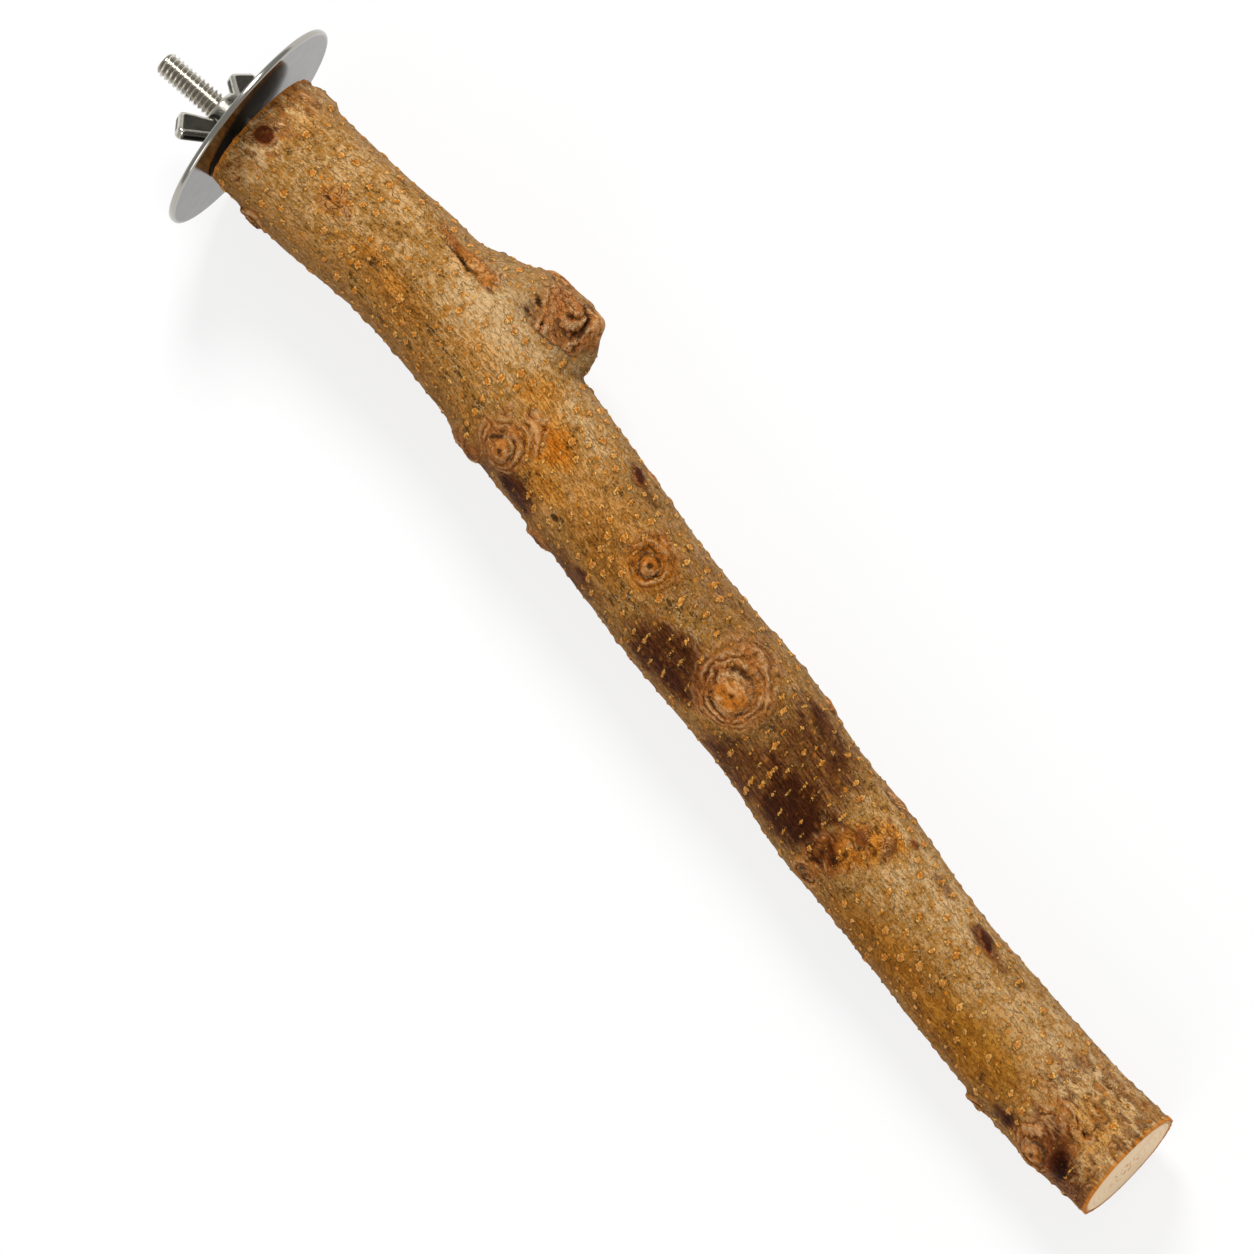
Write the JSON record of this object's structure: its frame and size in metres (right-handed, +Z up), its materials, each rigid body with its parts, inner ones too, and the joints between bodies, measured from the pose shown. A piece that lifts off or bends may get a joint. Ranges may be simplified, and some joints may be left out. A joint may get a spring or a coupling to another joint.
{
  "type": "bird perch",
  "caption": "Natural branch perch with its bark on and a healed side stub, clamped to a cage wall by a threaded bolt, a wide washer and a wing nut in its sawn end.",
  "frame": {"origin": "the point where the bolt's axis meets the branch's sawn mount end", "axes": "+X along the bolt's axis into the branch, +Y to the side where the healed stub stands out, +Z up, to the side the picture was taken from"},
  "size_m": [0.3322, 0.0892, 0.055],
  "materials": {
    "wood": "sawn, untreated",
    "bark": "natural bark",
    "bolt_steel": "zinc plated, bright",
    "washer_steel": "rolled, satin",
    "nut_steel": "nickel plated"
  },
  "bodies": {
    "branch": {"branch_wood": "wood", "bark": "bark", "hanger_bolt": "bolt_steel"},
    "washer": {"washer": "washer_steel"},
    "wing_nut": {"wing_nut": "nut_steel"}
  },
  "joints": [
    {"name": "washer_slide", "type": "slide", "parent": "branch", "child": "washer", "axis": [-1, 0, 0], "range_m": [-0.00049, 0.02667]},
    {"name": "wing_nut_turn", "type": "hinge", "parent": "washer", "child": "wing_nut", "pos_m": [0, 0, 0], "axis": [-1, 0, 0], "range_deg": [-140, 7560]}
  ],
  "couplings": [
    {"joint": "wing_nut_turn", "follows": "washer_slide", "rad_per_m": 4947.4}
  ]
}
